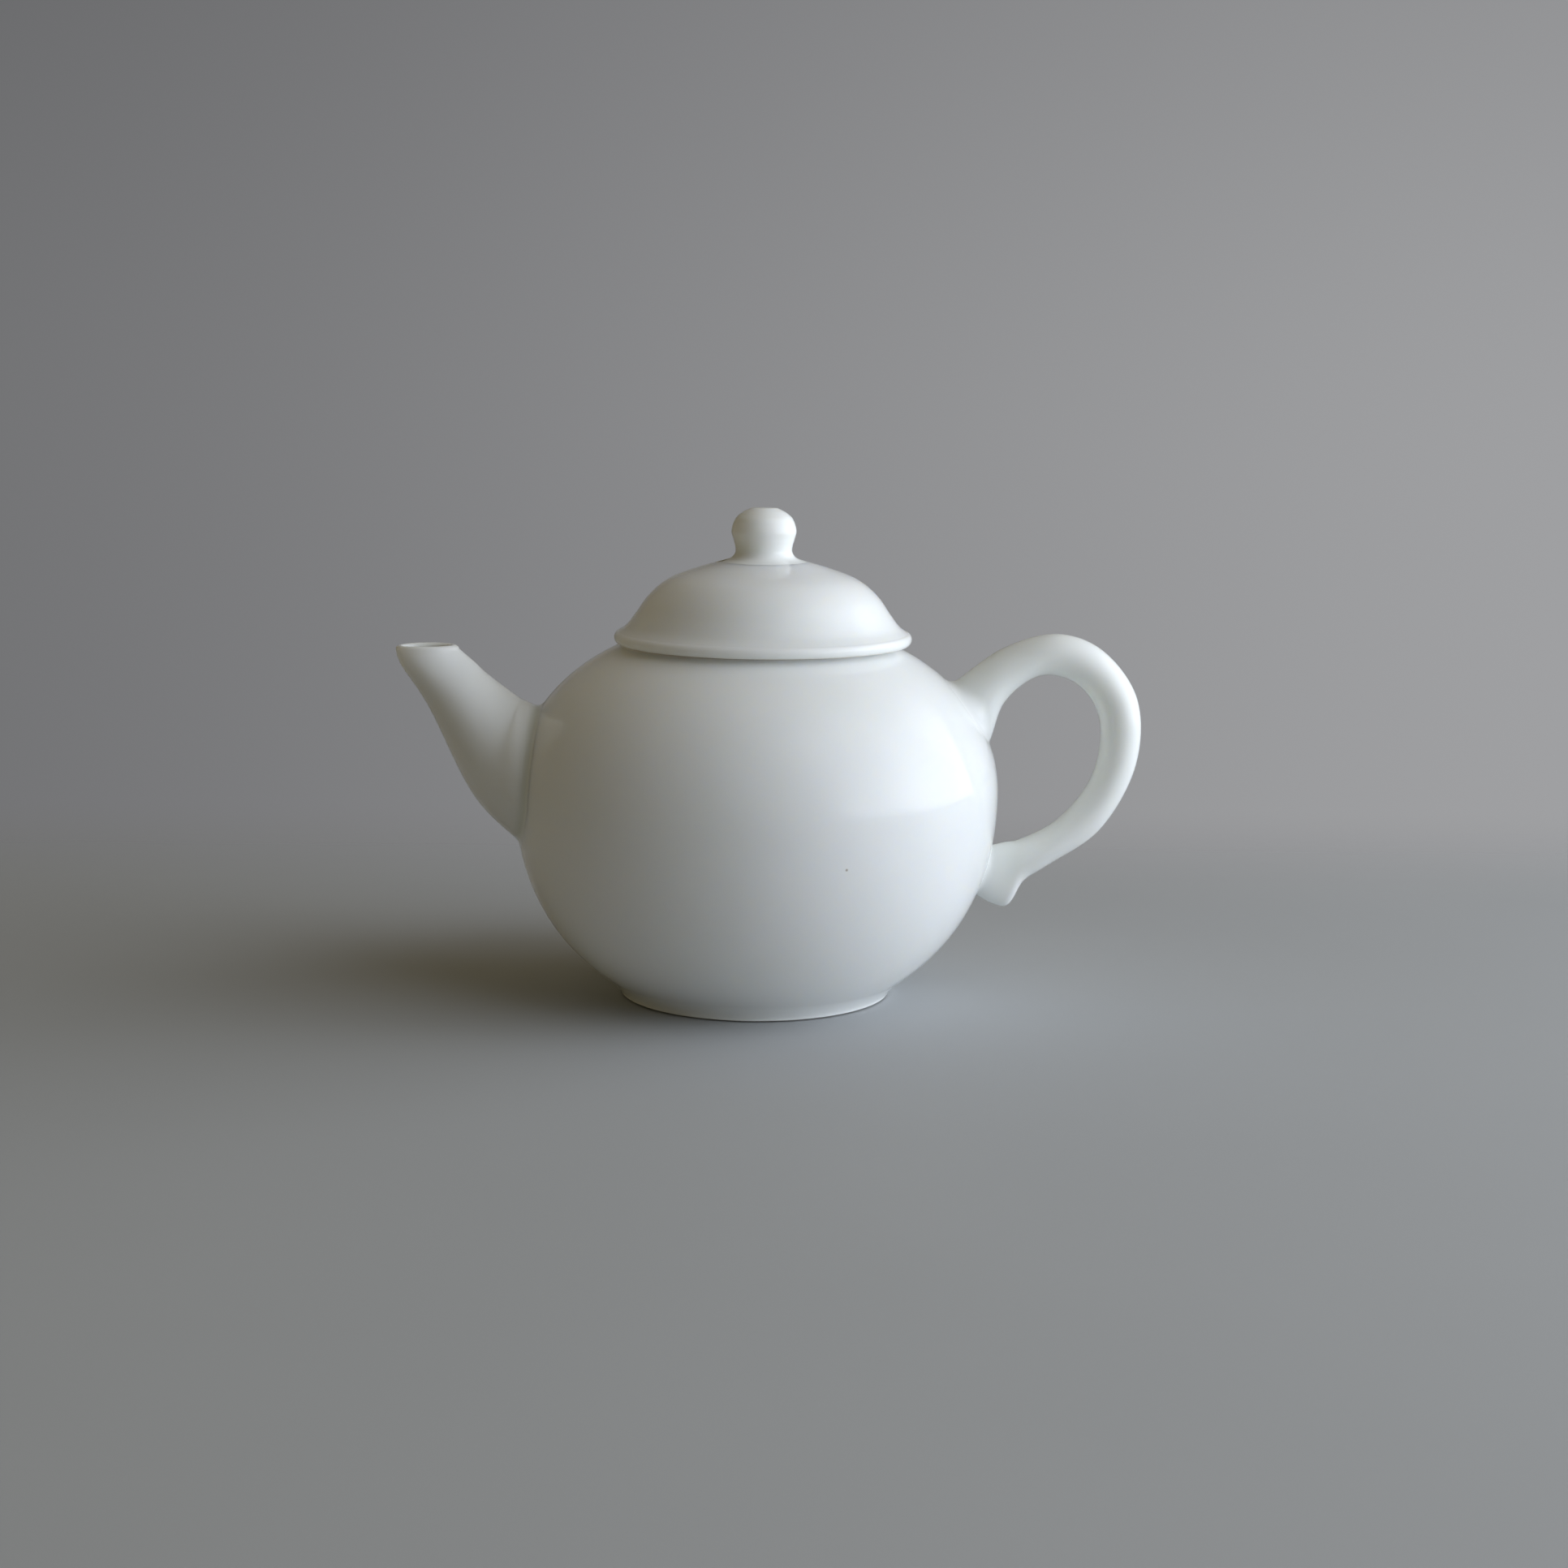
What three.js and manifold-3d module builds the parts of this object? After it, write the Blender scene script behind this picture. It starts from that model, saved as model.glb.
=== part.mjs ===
// A small white porcelain teapot: turned globe, luted spout and ear handle, lift-off domed lid with a ball knob
// Millimetres, +Z up. The table is z = 0, the spout points to -X and the handle to +X.
// The frame's origin lies on the table under the middle of the overall length.
import * as THREE from "three";
import { mergeVertices } from "three/addons/utils/BufferGeometryUtils.js";
import Module from "manifold-3d";

// Body
const bellyRadius = 41;
const bellyHeight = 35.2;
const bodyWall = 2.8;
const baseThickness = 3;
const footRadius = 23;
const footHeight = 1.3;
const footRingWidth = 2.6;
const footRecess = 1.4;
const mouthHeight = 59.9;
const mouthBore = 20.6;
const mouthLipWidth = 2.8;

// Lid
const lidOverhang = 1.65;
const lidRimThickness = 1.9;
const lidWall = 2.4;
const lidRise = 14;
const lidSeatGap = 0.1;
const collarClearance = 1.3;
const collarWall = 2.2;
const collarDepth = 6;
const lidRestOffset = 0.95;
const ventDiameter = 1.8;
const ventRadius = 7.2;

// Knob
const knobRadius = 5.45;
const knobNeckRadius = 4.72;
const knobFootRadius = 5.6;
const knobHeight = 8.7;

// Spout
const spoutLength = 19.9;
const spoutRootHeight = 25.6;
const spoutMouthHeight = mouthHeight - 1.1;
const spoutTipWall = 1.2;
const spoutRootWall = 2.4;
const spoutLipRound = 0.4;
const spoutTopFillet = 1.4;
const spoutUnderFillet = 0.8;

// Handle
const handleLength = 24.2;
const handleTailHeight = 15;
const handleTopHeight = mouthHeight + 2;
const handleHalfWidth = 4.2;
const handleTopFillet = 1.7;
const handleUnderFillet = 0.4;
const tailFillet = 0.5;

// Slip joints between luted pieces
const lutingGap = 0.3;
const featherEdge = 0.15;

// Ball strainer luted inside the body, over the port into the spout
const portDiameter = 15;
const portHeight = 37;
const strainerRadius = 9;
const strainerRise = 7.5;
const strainerWall = 1.6;
const strainerHoleDiameter = 2.2;
const strainerRingAngle = 29;

// Facets
const turnedSegments = 44;
const spoutSides = 24;
const handleSides = 18;
const holeSides = 10;

const wasm = await Module();
wasm.setup();

const point = (x, y) => new THREE.Vector2(x, y);

// Closed mesh to solid and back
function solidOf(geometry) {
  const bare = geometry.clone();
  bare.deleteAttribute("normal");
  bare.deleteAttribute("uv");
  const merged = mergeVertices(bare, 1e-4);
  return new wasm.Manifold(
    new wasm.Mesh({
      numProp: 3,
      vertProperties: new Float32Array(merged.attributes.position.array),
      triVerts: new Uint32Array(merged.index.array),
    }),
  );
}

function geometryOf(solid) {
  const mesh = solid.getMesh();
  const geometry = new THREE.BufferGeometry();
  geometry.setAttribute("position", new THREE.BufferAttribute(mesh.vertProperties, 3));
  geometry.setIndex(new THREE.BufferAttribute(mesh.triVerts, 1));
  return geometry;
}

// Turns a profile of (radius, height) points about the Z axis
function turned(profile, segments = turnedSegments) {
  const geometry = new THREE.LatheGeometry(profile, segments);
  geometry.rotateX(Math.PI / 2);
  return geometry;
}

function bezier(a, b, c, d, steps) {
  return new THREE.CubicBezierCurve(a, b, c, d).getPoints(steps);
}

const splineOf = (points) => new THREE.SplineCurve(points.map(([x, y]) => point(x, y)));

// A closed skin over rings of points, each ring with the same count, capped at both ends
function skinned(rings) {
  const sides = rings[0].length;
  const positions = rings.flat().flatMap((p) => [p.x, p.y, p.z]);
  const index = [];
  for (let i = 0; i < rings.length - 1; i++) {
    for (let k = 0; k < sides; k++) {
      const p = i * sides + k;
      const q = i * sides + ((k + 1) % sides);
      index.push(p, q, p + sides, q, q + sides, p + sides);
    }
  }
  const last = (rings.length - 1) * sides;
  for (let k = 1; k < sides - 1; k++) index.push(0, k + 1, k, last, last + k, last + k + 1);
  const geometry = new THREE.BufferGeometry();
  geometry.setAttribute("position", new THREE.Float32BufferAttribute(positions, 3));
  geometry.setIndex(index);
  return geometry;
}

// Lines along a limb with an oval section held between two edge curves in the XZ plane
function limbLines(edgeA, edgeB, halfWidths, sides, steps, wallAt = () => 0) {
  const curveA = splineOf(edgeA);
  const curveB = splineOf(edgeB);
  const width = splineOf(halfWidths.map((value, i) => [i, value]));
  const lines = [];
  for (let k = 0; k < sides; k++) {
    const angle = (2 * Math.PI * k) / sides;
    const line = [];
    for (let i = 0; i <= steps; i++) {
      const t = i / steps;
      const a = curveA.getPoint(t);
      const b = curveB.getPoint(t);
      const middle = a.clone().add(b).multiplyScalar(0.5);
      const half = a.clone().sub(b).multiplyScalar(0.5);
      half.setLength(half.length() - wallAt(t));
      const x = middle.x + half.x * Math.cos(angle);
      const z = middle.y + half.y * Math.cos(angle);
      line.push(new THREE.Vector3(x, (width.getPoint(t).y - wallAt(t)) * Math.sin(angle), z));
    }
    lines.push(line);
  }
  return lines;
}

// How strongly the points of a limb crowd towards its root, 1 is evenly
const crowding = 1.5;

const ringsOf = (lines) => lines[0].map((_, i) => lines.map((line) => line[i]));

// The body's outside from the foot to the lip, grown by offset
function bodyOutside(offset, lowerSteps = 11, upperSteps = 9) {
  const lip = mouthBore + mouthLipWidth;
  const belly = point(bellyRadius + offset, bellyHeight);
  const lower = bezier(
    point(footRadius + offset, footHeight),
    point(footRadius + 2.9 + offset, footHeight + 2.7),
    point(bellyRadius + offset, bellyHeight - 23.9),
    belly,
    lowerSteps,
  );
  const upper = bezier(
    belly,
    point(bellyRadius + offset, bellyHeight + 9.8),
    point(lip + 10.9, mouthHeight - 5.4 + offset),
    point(lip, mouthHeight - 0.5 + offset),
    upperSteps,
  );
  return [...lower, ...upper.slice(1)];
}

// The cavity from the mouth down to the middle of the floor, shrunk by offset
function bodyInside(offset) {
  const widest = bellyRadius - bodyWall - offset;
  const floor = footRecess + baseThickness + offset;
  const belly = point(widest, bellyHeight);
  const upper = bezier(
    point(mouthBore - offset, mouthHeight - bodyWall - 0.6),
    point(mouthBore + 12 - offset, mouthHeight - bodyWall - 6.2 - offset),
    point(widest, bellyHeight + 10),
    belly,
    8,
  );
  const lowerBend = point(widest, bellyHeight - 20);
  const lower = bezier(belly, lowerBend, point(footRadius + 5, floor), point(0, floor), 9);
  return [...upper, ...lower.slice(1)];
}

function potBody() {
  const lip = mouthBore + mouthLipWidth;
  const edge = 0.4;
  const profile = [
    point(0, footRecess),
    point(footRadius - footRingWidth - 0.6, footRecess),
    point(footRadius - footRingWidth, 0),
    point(footRadius - edge, 0),
    point(footRadius, edge),
    ...bodyOutside(0),
    point(lip - 0.6, mouthHeight),
    point(mouthBore + edge, mouthHeight),
    point(mouthBore, mouthHeight - edge),
    ...bodyInside(0),
  ];
  return geometryOf(solidOf(turned(profile)).subtract(spoutPort()));
}

// The hole through the body's wall into the spout
function spoutPort() {
  const portRadius = portDiameter / 2;
  const port = new THREE.CylinderGeometry(portRadius, portRadius, 4 * bodyWall, turnedSegments / 2);
  port.rotateZ(Math.PI / 2);
  port.translate(bodyWall / 2 - bellyRadius, 0, portHeight);
  return solidOf(port);
}

// Everything inside the body's outer skin, grown by the luting gap
function skinCutter() {
  const foot = [point(0, 0), point(footRadius + lutingGap, 0)];
  return solidOf(turned([...foot, ...bodyOutside(lutingGap), point(0, mouthHeight)]));
}

// The skin that luted pieces meet, as radius against height
const lutedSkin = bodyOutside(lutingGap, 60, 60);

function skinRadius(z) {
  const above = lutedSkin.findIndex((p) => p.y > z);
  if (above <= 0) return above ? 0 : lutedSkin[0].x;
  const a = lutedSkin[above - 1];
  const b = lutedSkin[above];
  return THREE.MathUtils.lerp(a.x, b.x, (z - a.y) / (b.y - a.y));
}

const outsideSkin = (p) => Math.hypot(p.x, p.y) - skinRadius(p.z);

function skinNormal(p) {
  const step = 0.1;
  const slope = (skinRadius(p.z + step) - skinRadius(p.z - step)) / (2 * step);
  const level = new THREE.Vector3(p.x, p.y, 0).normalize();
  return level.setZ(-slope).normalize();
}

// Moves a point along the skin's normal until it lies at a height above the skin
function settle(p, height) {
  for (let i = 0; i < 8; i++) {
    const normal = skinNormal(p);
    const level = Math.hypot(normal.x, normal.y);
    p.addScaledVector(normal, height - outsideSkin(p) * level);
  }
  return p;
}

function pointAlong(line, distance) {
  for (let i = 1; i < line.length; i++) {
    const length = line[i].distanceTo(line[i - 1]);
    if (distance <= length) return line[i - 1].clone().lerp(line[i], distance / length);
    distance -= length;
  }
  return line.at(-1).clone();
}

// Ends a line that runs into the body in a concave fillet that lands on the skin and then dives under it.
// The fillet differs above and under the root, and the line's points lie closer together towards it.
function filleted(line, rootMiddle, [topFillet, underFillet], straightSteps, bendSteps) {
  let run = 0;
  let crossing = line.at(-1);
  for (let i = 1; i < line.length; i++) {
    const length = line[i].distanceTo(line[i - 1]);
    if (outsideSkin(line[i]) < 0) {
      let [outer, inner] = [0, 1];
      for (let pass = 0; pass < 24; pass++) {
        const half = (outer + inner) / 2;
        if (outsideSkin(line[i - 1].clone().lerp(line[i], half)) > 0) outer = half;
        else inner = half;
      }
      crossing = line[i - 1].clone().lerp(line[i], outer);
      run += length * outer;
      break;
    }
    run += length;
  }
  const normal = skinNormal(crossing);
  const away = crossing.clone().sub(rootMiddle).projectOnPlane(normal).normalize();
  const fillet = THREE.MathUtils.lerp(underFillet, topFillet, (1 + away.z) / 2);
  const landing = settle(crossing.clone().addScaledVector(away, fillet), featherEdge);
  const corner = crossing.clone().addScaledVector(normal, featherEdge);
  const start = run - fillet;
  const bend = new THREE.QuadraticBezierCurve3(pointAlong(line, start), corner, landing);
  const straight = [];
  for (let i = 0; i < straightSteps; i++) {
    const left = 1 - i / straightSteps;
    straight.push(pointAlong(line, start * (1 - left ** crowding)));
  }
  const dive = landing.clone().addScaledVector(skinNormal(landing), -2 * bodyWall);
  return [...straight, ...bend.getPoints(bendSteps), dive];
}

// A domed sieve whose rim follows the inside of the wall
function spoutStrainer() {
  const quarter = [0, 1, 2, 3, 4, 5, 6].map((i) => (Math.PI * i) / 12);
  const skirt = 4;
  const arc = (radius, rise) =>
    quarter.map((angle) => point(radius * Math.sin(angle), rise * Math.cos(angle)));
  const innerRadius = strainerRadius - strainerWall;
  const holeRadius = strainerHoleDiameter / 2;
  const profile = [
    ...arc(innerRadius, strainerRise - strainerWall),
    point(innerRadius, -skirt),
    point(strainerRadius, -skirt),
    ...arc(strainerRadius, strainerRise).reverse(),
  ];
  const seat = 1;
  const place = new THREE.Matrix4()
    .makeTranslation(seat + bodyWall - bellyRadius, 0, portHeight)
    .multiply(new THREE.Matrix4().makeRotationY(Math.PI / 2));
  let sieve = solidOf(turned(profile, 24).applyMatrix4(place));
  for (let ring = 0; ring <= 2; ring++) {
    const count = ring ? 6 * ring : 1;
    for (let i = 0; i < count; i++) {
      const drill = new THREE.CylinderGeometry(holeRadius, holeRadius, 6, holeSides);
      drill.rotateX(Math.PI / 2);
      drill.translate(0, 0, innerRadius);
      drill.rotateY(THREE.MathUtils.degToRad(strainerRingAngle * ring));
      drill.rotateZ((2 * Math.PI * i) / count);
      drill.scale(1, 1, strainerRise / strainerRadius);
      sieve = sieve.subtract(solidOf(drill.applyMatrix4(place)));
    }
  }
  const ceiling = point(0, mouthHeight - bodyWall - 0.6);
  const cavity = solidOf(turned([...bodyInside(lutingGap).reverse(), ceiling]));
  return geometryOf(sieve.intersect(cavity));
}

// Edges of the spout from its mouth to inside the wall,
// in percent of its length beyond the belly and of its height
const spoutUnderside = [[100, 99.4], [95.6, 90.8], [72.4, 69.8], [35.4, 25.5], [-2.1, 2.6], [-32.7, -10]];
const spoutTopside = [[48.7, 100.3], [32.8, 92], [22.7, 86.2], [-2.4, 74.7], [-9.7, 72.1], [-52.8, 59.9]];
const spoutHalfWidths = [3.9, 4.6, 6.3, 11.2, 15.2, 17.6];

const spoutPlace = ([out, up]) => [
  -bellyRadius - (out / 100) * spoutLength,
  THREE.MathUtils.lerp(spoutRootHeight, spoutMouthHeight, up / 100),
];

function spout() {
  const underside = spoutUnderside.map(spoutPlace);
  const topside = spoutTopside.map(spoutPlace);
  const rootMiddle = new THREE.Vector3(-bellyRadius, 0, portHeight);
  const outer = limbLines(underside, topside, spoutHalfWidths, spoutSides, 40).map((line) =>
    filleted(line, rootMiddle, [spoutTopFillet, spoutUnderFillet], 11, 3),
  );
  const outerRings = ringsOf(outer);
  const mouth = outerRings[0];
  const centre = mouth.reduce((sum, p) => sum.add(p), new THREE.Vector3()).divideScalar(mouth.length);
  const lip = mouth.map((p) => p.clone().lerp(centre, spoutLipRound / p.distanceTo(centre)));
  for (const p of mouth) p.z -= spoutLipRound;
  const wallAt = (t) => THREE.MathUtils.lerp(spoutTipWall, spoutRootWall, t);
  const bore = ringsOf(limbLines(underside, topside, spoutHalfWidths, spoutSides, 14, wallAt));
  const past = bore[0].map((p, k) => p.clone().multiplyScalar(2).sub(bore[1][k]));
  const body = solidOf(skinned([lip, ...outerRings]));
  return geometryOf(body.subtract(solidOf(skinned([past, ...bore]))).subtract(skinCutter()));
}

// Edges of the ear from its flared upper root round to its tail,
// in percent of its length beyond the belly and of its height
const handleInside = [
  [-28.9, 54.4], [-8.7, 58.7], [3.4, 75], [26.3, 84.6], [51.1, 82.9], [68.5, 72.7],
  [71.2, 58.5], [62.6, 44.5], [42.1, 31.9], [17.7, 25], [3.8, 23.5], [-28.9, 19.2],
];
const handleOutside = [
  [-47.5, 77.2], [-30.4, 82.8], [2.6, 94.9], [40, 100], [73.1, 93.6], [97.1, 75.9],
  [96.5, 51.9], [72.6, 28.8], [35.5, 15.3], [19.8, 9.7], [6.5, 0.1], [-20.7, 6.4],
];
const handleWidths = [1.4, 1.2, 1.02, 1, 1, 1, 1, 1, 1.02, 0.98, 0.84, 0.7];

const handlePlace = ([out, up]) => [
  bellyRadius + (out / 100) * handleLength,
  THREE.MathUtils.lerp(handleTailHeight, handleTopHeight, up / 100),
];

function handle() {
  const inside = handleInside.map(handlePlace);
  const outside = handleOutside.map(handlePlace);
  const halfWidths = handleWidths.map((share) => share * handleHalfWidth);
  const rootAt = ([inner], [outer]) =>
    new THREE.Vector3((inner[0] + outer[0]) / 2, 0, (inner[1] + outer[1]) / 2);
  const upperRoot = rootAt(inside.slice(1), outside.slice(1));
  const lowerRoot = rootAt(inside.slice(-2), outside.slice(-2));
  const lines = limbLines(inside, outside, halfWidths, handleSides, 120).map((line) => {
    const middle = line.length >> 1;
    const upwards = line.slice(0, middle + 1).reverse();
    const up = filleted(upwards, upperRoot, [handleTopFillet, handleUnderFillet], 15, 3);
    const down = filleted(line.slice(middle), lowerRoot, [tailFillet, tailFillet], 20, 3);
    return [...up.reverse(), ...down.slice(1)];
  });
  return geometryOf(solidOf(skinned(ringsOf(lines))).subtract(skinCutter()));
}

const lidRadius = mouthBore + mouthLipWidth + lidOverhang;
const seatHeight = mouthHeight + lidSeatGap;
const domeTop = seatHeight + lidRise;
const collarRadius = mouthBore - collarClearance;

// The domed lid with its rolled rim and a vent beside the knob
function lid() {
  const innerRadius = collarRadius - collarWall;
  const dome = splineOf([
    [lidRadius - 0.5, seatHeight + lidRimThickness - 0.1],
    [lidRadius - 2.15, seatHeight + 3],
    [lidRadius - 3.7, seatHeight + 5.05],
    [lidRadius - 5.6, seatHeight + 7.75],
    [lidRadius - 8.1, seatHeight + 10.05],
    [lidRadius - 11.2, seatHeight + 11.65],
    [knobFootRadius + 2.8, domeTop - 0.6],
    [knobFootRadius, domeTop],
  ]).getPoints(15);
  const underside = splineOf([
    [6, domeTop - lidWall - 0.3],
    [12.5, domeTop - lidWall - 2.3],
    [innerRadius, seatHeight + 4.6],
    [innerRadius + 1, seatHeight + 0.6],
  ]).getPoints(7);
  const profile = [
    point(0, domeTop - lidWall),
    ...underside,
    point(innerRadius + 1.4, seatHeight),
    point(lidRadius - 1.1, seatHeight),
    point(lidRadius - 0.3, seatHeight + 0.25),
    point(lidRadius, seatHeight + 0.5 * lidRimThickness - 0.1),
    ...dome,
    point(0, domeTop),
  ];
  const drill = new THREE.CylinderGeometry(ventDiameter / 2, ventDiameter / 2, 12, holeSides);
  drill.rotateX(Math.PI / 2);
  drill.translate(-ventRadius, 0, domeTop);
  return geometryOf(solidOf(turned(profile)).subtract(solidOf(drill)));
}

// The ring luted under the lid that keeps it in the mouth
function lidCollar() {
  const top = seatHeight - lutingGap;
  const bottom = seatHeight - collarDepth;
  const innerRadius = collarRadius - collarWall;
  const bevel = 0.6;
  const profile = [
    point(innerRadius, top),
    point(innerRadius, bottom + bevel),
    point(innerRadius + bevel, bottom),
    point(collarRadius - bevel, bottom),
    point(collarRadius, bottom + bevel),
    point(collarRadius, top),
    point(innerRadius, top),
  ];
  return turned(profile);
}

function lidKnob() {
  const base = domeTop + lutingGap;
  const crown = domeTop + knobHeight;
  const ball = domeTop + 0.56 * knobHeight;
  const outline = splineOf([
    [knobFootRadius, base],
    [knobNeckRadius + 0.1, domeTop + 1.3],
    [knobNeckRadius, domeTop + 2.3],
    [knobRadius - 0.3, domeTop + 3.4],
    [knobRadius, ball],
    [knobRadius - 0.6, ball + 1.9],
    [knobRadius - 1.75, crown - 0.8],
    [knobRadius - 3.25, crown],
  ]).getPoints(14);
  return turned([point(0, base), ...outline, point(0, crown)], turnedSegments / 2);
}

const porcelain = new THREE.MeshStandardMaterial({ color: 0xe9eeec, roughness: 0.12, metalness: 0 });

function addPiece(group, name, geometry) {
  const mesh = new THREE.Mesh(geometry, porcelain.clone());
  mesh.name = name;
  group.add(mesh);
}

const teapot = new THREE.Group();
teapot.position.x = (spoutLength - handleLength) / 2;
addPiece(teapot, "pot_body", potBody());
addPiece(teapot, "spout", spout());
addPiece(teapot, "spout_strainer", spoutStrainer());
addPiece(teapot, "handle", handle());

const lidGroup = new THREE.Group();
lidGroup.position.x = lidRestOffset;
addPiece(lidGroup, "lid", lid());
addPiece(lidGroup, "lid_collar", lidCollar());
addPiece(lidGroup, "lid_knob", lidKnob());
teapot.add(lidGroup);

export default teapot;
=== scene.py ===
from math import cos, hypot, pi, radians, sin

import bmesh
import bpy
from mathutils import Matrix, Vector
from mathutils.kdtree import KDTree


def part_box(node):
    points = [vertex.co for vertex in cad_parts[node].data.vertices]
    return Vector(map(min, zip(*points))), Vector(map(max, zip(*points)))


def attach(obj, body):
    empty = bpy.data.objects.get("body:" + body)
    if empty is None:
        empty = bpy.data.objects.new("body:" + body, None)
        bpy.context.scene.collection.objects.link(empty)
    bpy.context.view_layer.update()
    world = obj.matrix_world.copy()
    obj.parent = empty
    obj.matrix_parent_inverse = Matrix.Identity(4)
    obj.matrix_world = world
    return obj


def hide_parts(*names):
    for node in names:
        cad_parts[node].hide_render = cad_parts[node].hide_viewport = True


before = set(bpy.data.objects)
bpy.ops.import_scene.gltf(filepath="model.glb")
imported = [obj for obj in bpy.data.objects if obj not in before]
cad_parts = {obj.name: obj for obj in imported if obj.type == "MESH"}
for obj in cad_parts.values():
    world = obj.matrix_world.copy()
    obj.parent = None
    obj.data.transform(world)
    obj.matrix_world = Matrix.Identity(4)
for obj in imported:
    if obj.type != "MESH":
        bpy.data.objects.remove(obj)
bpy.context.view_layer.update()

MM = 0.001

# Radius at which revolved outlines begin, and how deep the ends of pieces go under the skin they meet
AXIS_GAP = 0.2 * MM
TUCK = 0.3 * MM

# Body with its foot and mouth; the foot's outer edge stays FOOT_GAP clear of the table
BELLY_RADIUS = 41 * MM
BELLY_Z = 35.2 * MM
WALL = 2.8 * MM
BASE = 3 * MM
FOOT_RADIUS = 23 * MM
FOOT_HEIGHT = 1.3 * MM
FOOT_RING = 2.6 * MM
FOOT_RECESS = 1.4 * MM
FOOT_EDGE = 0.2 * MM
FOOT_GAP = 0.25 * MM
MOUTH_BORE = 20.6 * MM
BORE_EDGE = 0.4 * MM
LIP = 2.8 * MM
LIP_DROP = 0.5 * MM

# Places from the frame
POT_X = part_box("pot_body")[1][0] - BELLY_RADIUS
LID_X = (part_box("lid")[0][0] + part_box("lid")[1][0]) / 2
MOUTH_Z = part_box("pot_body")[1][2]
SEAT_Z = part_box("lid")[0][2]
DOME_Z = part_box("lid")[1][2]
CROWN_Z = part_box("lid_knob")[1][2]

# Lid and knob
LID_RADIUS = 25.05 * MM
LID_RIM = 1.9 * MM
LID_RIM_FADE = 2 * MM
LID_WALL = 2.4 * MM
COLLAR_RADIUS = 19.3 * MM
COLLAR_WALL = 2.2 * MM
COLLAR_DEPTH = 6 * MM
KNOB_FOOT = 5.6 * MM
KNOB_NECK = 4.72 * MM
KNOB_RADIUS = 5.45 * MM
VENT_RADIUS = 0.9 * MM
VENT_PLACE = 7.2 * MM

# Spout: its edges from the mouth into the wall, in millimetres from the pot's axis and the table
SPOUT_UNDERSIDE = [
    (-60.9, 58.6), (-60.02, 55.75), (-55.41, 48.77), (-48.04, 34.07), (-40.58, 26.46), (-34.49, 22.28),
]
SPOUT_TOPSIDE = [
    (-50.69, 58.9), (-47.53, 56.14), (-45.52, 54.22), (-40.52, 50.4), (-39.07, 49.54), (-30.49, 45.49),
]
SPOUT_HALF_WIDTHS = [3.9, 5.1, 7.3, 11.7, 14.9, 17.6]
SPOUT_TIP_WALL = 1.2 * MM
SPOUT_ROOT_WALL = 2.4 * MM
SPOUT_LIP_ROUND = 0.55 * MM

# Fillets where a limb meets the body: on top, underneath, and what its sides have beyond those
SPOUT_FILLETS = (1.5 * MM, 0.8 * MM, 0)

# Handle: its edges from the upper root round to the tail
HANDLE_INSIDE = [
    (34, 40.5), (38.9, 42.51), (41.82, 50.19), (47.36, 54.69), (53.37, 53.9), (57.57, 49.09),
    (58.23, 42.42), (56.16, 35.88), (51.2, 29.94), (45.28, 26.73), (41.92, 26.02), (34, 24),
]
HANDLE_OUTSIDE = [
    (29.5, 51.2), (33.64, 53.85), (41.62, 59.51), (50.68, 61.94), (58.7, 58.9), (64.51, 50.6),
    (64.35, 39.32), (58.58, 28.52), (49.58, 22.16), (45.8, 19.57), (42.58, 15.06), (36, 18),
]
HANDLE_HALF_WIDTHS = [5.9, 5.05, 4.3, 4.2, 4.2, 4.2, 4.2, 4.2, 4.3, 4.1, 3.5, 2.9]
HANDLE_FILLETS = (1.8 * MM, 0.35 * MM, 2.2 * MM)
TAIL_FILLETS = (0.5 * MM, 0.5 * MM, 1 * MM)

# Ball strainer over the port inside the wall
PORT_Z = 37 * MM
PORT_RADIUS = 7.5 * MM
STRAINER_RADIUS = 9 * MM
STRAINER_RISE = 7.5 * MM
STRAINER_WALL = 1.6 * MM
STRAINER_HOLE = 1.1 * MM
STRAINER_RING = radians(29)
STRAINER_SEAT = 1 * MM
STRAINER_SKIRT = 1.2 * MM

# Glaze colours, the seam's tint of pooled glaze and painted crease shade and how far it reaches from the
# seam, and how far the glow within the clay stays off one
CLOUD_LOW = (0.835, 0.865, 0.85)
CLOUD_HIGH = (0.865, 0.89, 0.88)
# Greener glaze pooled at the spout's seam, darkened further as painted shade for the crease
POOL_AND_CREASE_SHADE_COLOUR = (0.50, 0.56, 0.47)
SPECK_COLOUR = (0.30, 0.24, 0.17)
POOL_AND_CREASE_SHADE_WIDTH = 1.8 * MM
POOL_AND_CREASE_SHADE_STRENGTH = 0.45
DIM_WIDTH = 4 * MM
LIMB_GLOW = 0.4
GLOW_LEVEL = 0.8
GLOW_DEPTH = 5 * MM
GLOW_SPREAD = (1.0, 0.9, 0.75)
GLAZE_IOR = 1.5
GLAZE_GLOSS = 0.18
SPECK_CELLS_PER_METRE = 160

# Unglazed clay
CLAY_LOW = (0.80, 0.78, 0.735)
CLAY_HIGH = (0.88, 0.865, 0.83)
STAIN_COLOUR = (0.74, 0.68, 0.58)

# Floor, backdrop and light
FLOOR_COLOUR = (0.418, 0.435, 0.45)
BACKDROP = (0.26, 0.262, 0.27)
FILL = (0.21, 0.17, 0.095)
WINDOW_COLOUR = (0.94, 0.99, 1.08)
LOW_WINDOW_COLOUR = (0.94, 1.0, 1.08)
WINDOW_DISTANCE = 0.75
WINDOW_WIDTH = 1.05


def cubic(a, b, c, d, steps):
    """Points of a cubic curve from a to d, drawn by b and c."""
    points = []
    for i in range(steps + 1):
        t = i / steps
        s = 1 - t
        bend = 3 * s * s * t * Vector(b) + 3 * s * t * t * Vector(c)
        points.append(s**3 * Vector(a) + bend + t**3 * Vector(d))
    return points


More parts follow.
